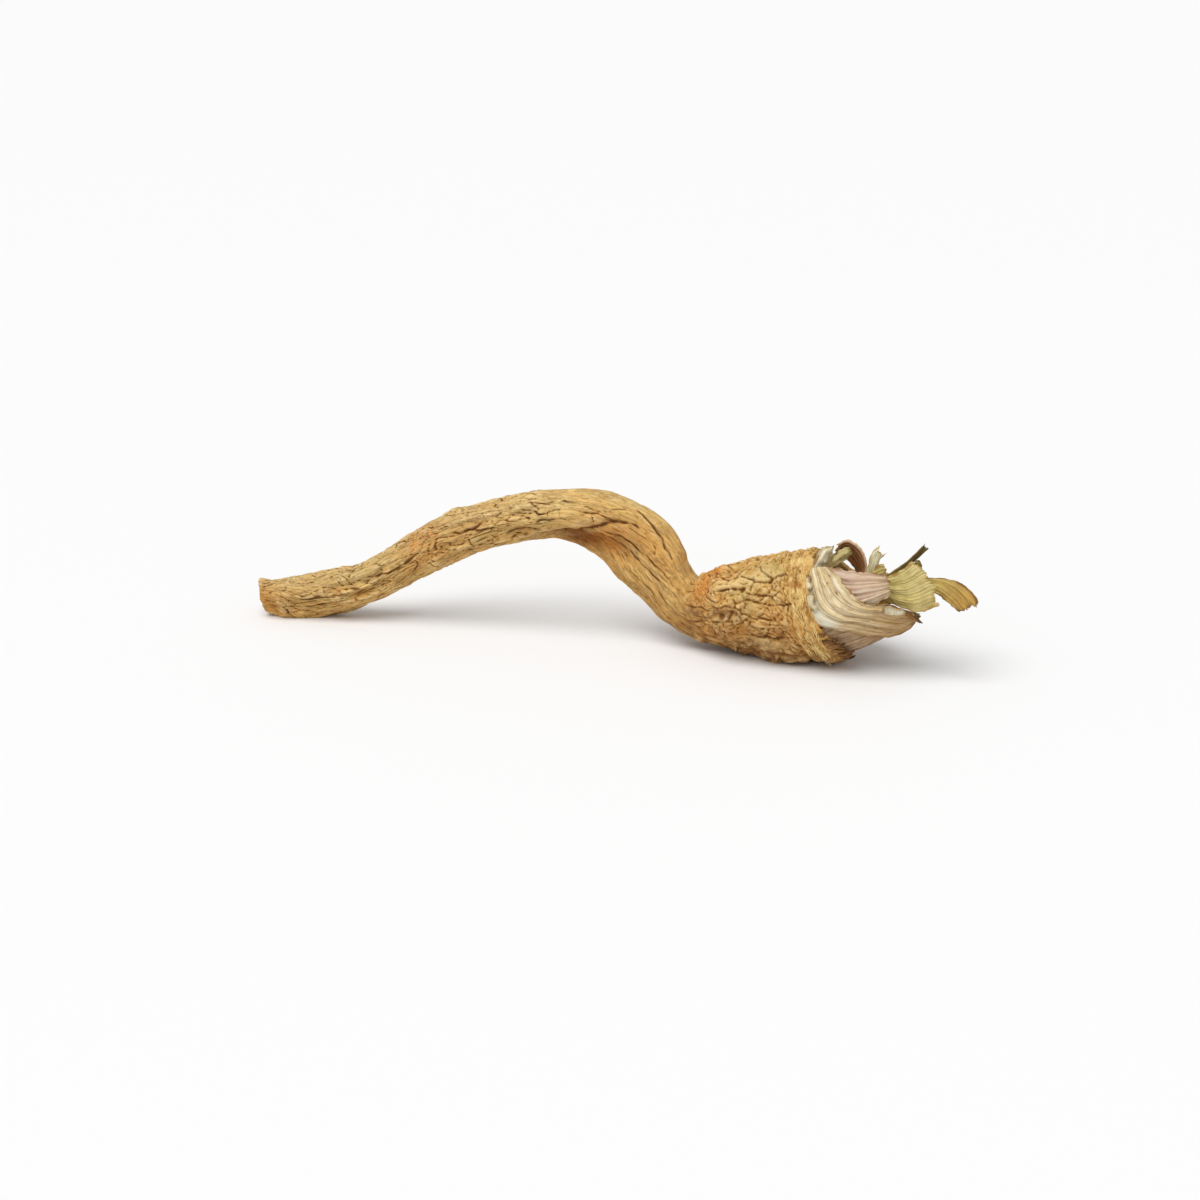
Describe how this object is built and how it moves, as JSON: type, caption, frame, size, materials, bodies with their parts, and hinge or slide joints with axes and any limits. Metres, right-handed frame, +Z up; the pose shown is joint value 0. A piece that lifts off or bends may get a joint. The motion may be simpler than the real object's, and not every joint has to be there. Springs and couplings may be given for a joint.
{
  "type": "dried root parsley",
  "caption": "Whole dried root with a thin arched tail, a flattened twisted bend, a knobbed crown and torn dry leaf bases; lies on a flat surface.",
  "frame": {"origin": "under the middle of the root's box, on the surface that it lies on", "axes": "+X along the root from the cut tail to the leaf bases, +Y away from the side that the picture shows, +Z up"},
  "size_m": [0.1913, 0.0583, 0.0406],
  "materials": {
    "root_skin": "matte, wrinkled dry root skin, straw to tan",
    "pale_sheath": "matte, dry papery leaf base, cream with pale stripes",
    "lilac_sheath": "matte, dry papery leaf base, pinkish lilac",
    "green_stalk": "matte, dry ribbed stalk, straw green",
    "ochre_stalk": "matte, dry ribbed stalk, ochre",
    "olive_leaf": "matte, dark olive dry leaf strip",
    "brown_strap": "matte, purple-brown dry stalk skin"
  },
  "bodies": {
    "root": {"root": "root_skin", "wrap_upper": "pale_sheath", "wrap_lower": "pale_sheath", "wrap_back_low": "pale_sheath", "wrap_back_high": "pale_sheath", "cream_fold": "pale_sheath", "cream_ribbon": "pale_sheath", "lilac_sheath": "lilac_sheath", "green_stalk": "green_stalk", "torn_sliver": "green_stalk", "inner_high": "green_stalk", "inner_low": "ochre_stalk", "curved_stalk": "ochre_stalk", "olive_strip": "olive_leaf", "brown_strap": "brown_strap"}
  },
  "joints": []
}
